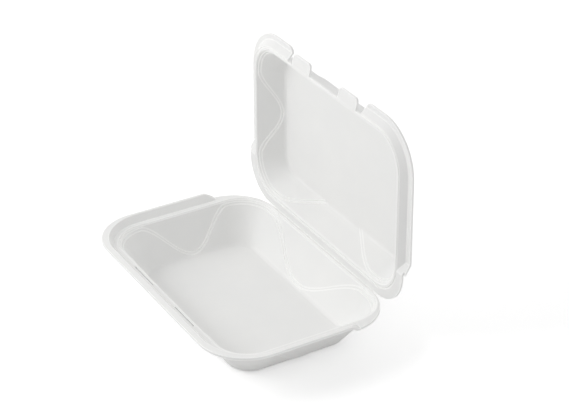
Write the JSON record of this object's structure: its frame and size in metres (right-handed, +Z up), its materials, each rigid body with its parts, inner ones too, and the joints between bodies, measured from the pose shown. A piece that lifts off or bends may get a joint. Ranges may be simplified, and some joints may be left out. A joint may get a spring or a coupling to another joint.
{
  "type": "foam clamshell container",
  "caption": "White moulded foam takeaway box with a deep leaning-walled tray and a shallow lid hinged along the long back edge, with tuck-in tabs and slots at the front.",
  "frame": {"origin": "centre of the tray's flat bottom, on the surface it stands on", "axes": "+X along the hinge, +Y from the front edge to the hinge, +Z up; the lid is stored open and upright at the +Y edge"},
  "size_m": [0.24, 0.1788, 0.189],
  "materials": {
    "foam": "matte to slightly satin white expanded foam sheet with a faint skin"
  },
  "bodies": {
    "tray": {"base_tray": "foam"},
    "lid": {"lid": "foam"}
  },
  "joints": [
    {"name": "lid_hinge", "type": "hinge", "parent": "tray", "child": "lid", "pos_m": [0, 0.0744, 0.03315], "axis": [1, 0, 0], "range_deg": [-90, 88]}
  ]
}
